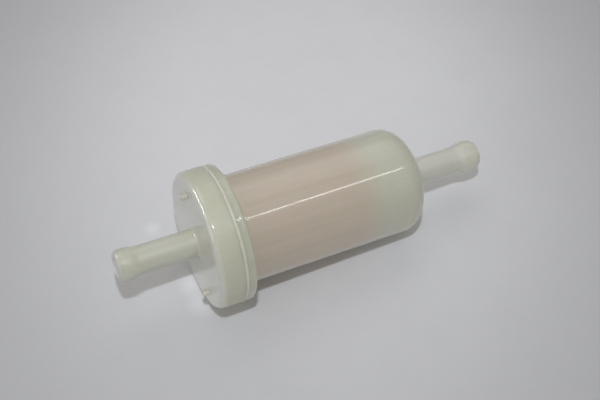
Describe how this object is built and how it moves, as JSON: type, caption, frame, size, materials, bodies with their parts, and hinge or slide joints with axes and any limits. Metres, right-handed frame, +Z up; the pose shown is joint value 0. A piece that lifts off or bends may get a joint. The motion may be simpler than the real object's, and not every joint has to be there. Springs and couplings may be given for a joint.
{
  "type": "in-line fuel filter",
  "caption": "Translucent in-line fuel filter: welded nylon bowl and flanged cap around a pleated paper element, with a beaded hose spigot at each end.",
  "frame": {"origin": "on the flow axis, half way between the two hose tips", "axes": "+X along the flow axis from the outlet spigot on the cap to the inlet spigot on the bowl, +Z up with the filter lying on its side"},
  "size_m": [0.1146, 0.0406, 0.0406],
  "materials": {
    "nylon": "translucent natural nylon, glossy moulded skin",
    "weld_nylon": "remelted nylon bead, wavy",
    "plate_plastic": "off-white moulded plastic",
    "seal_rubber": "black moulded rubber",
    "bonding_resin": "cured tan resin",
    "filter_paper": "resin-treated buff filter paper",
    "clip_steel": "thin pressed strip"
  },
  "bodies": {
    "root": {"outlet_cap": "nylon", "bowl": "nylon", "weld_bead": "weld_nylon", "open_end_plate": "plate_plastic", "collar_seal": "seal_rubber", "open_end_resin": "bonding_resin", "pleated_paper": "filter_paper", "seam_clip": "clip_steel", "core_tube": "plate_plastic", "closed_end_resin": "bonding_resin", "closed_end_plate": "plate_plastic"}
  },
  "joints": []
}
